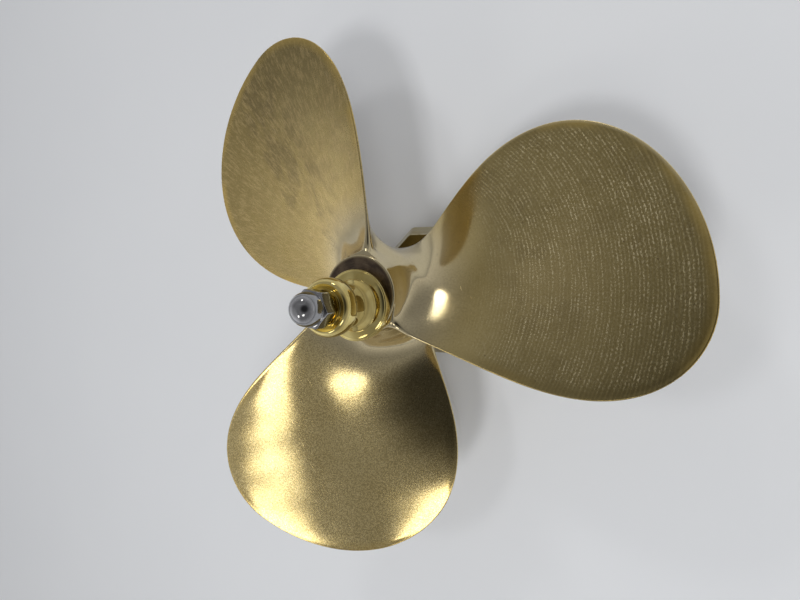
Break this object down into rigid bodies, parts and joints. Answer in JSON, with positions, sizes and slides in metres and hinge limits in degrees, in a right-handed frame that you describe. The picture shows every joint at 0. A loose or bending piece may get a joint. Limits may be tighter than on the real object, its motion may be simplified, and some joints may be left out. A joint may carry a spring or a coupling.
{
  "type": "boat propeller",
  "caption": "Left-handed cast bronze boat propeller with broad rounded blades, free to turn on a bush, held on a bevelled base block by a rod, turned brass collars and an acorn nut.",
  "frame": {"origin": "on the propeller's axis, at the underside of the base pad", "axes": "+Z along the shaft line from the base to the acorn nut; +X close to the centre line of one blade; +Y at right angles to both"},
  "size_m": [0.2965, 0.3052, 0.1687],
  "materials": {
    "polished_bronze": "polished, with fine scratches from buffing",
    "turned_brass": "mirror polished, lathe turned",
    "base_brass": "darkened, satin, with a brighter bevel",
    "zinc_steel": "bright zinc plate",
    "bright_chrome": "mirror polished",
    "pad_felt": "pressed felt"
  },
  "bodies": {
    "stand": {"base_block": "base_brass", "base_pad": "pad_felt", "base_washer": "zinc_steel", "base_nut": "zinc_steel", "spindle": "zinc_steel", "rear_collar": "turned_brass", "hub_bush": "turned_brass", "flange_collar": "turned_brass", "cup_collar": "turned_brass", "dome_nut": "bright_chrome"},
    "propeller": {"propeller": "polished_bronze"}
  },
  "joints": [
    {"name": "propeller_spin", "type": "hinge", "parent": "stand", "child": "propeller", "pos_m": [0, 0, 0.08335], "axis": [0, 0, 1], "continuous": true}
  ]
}
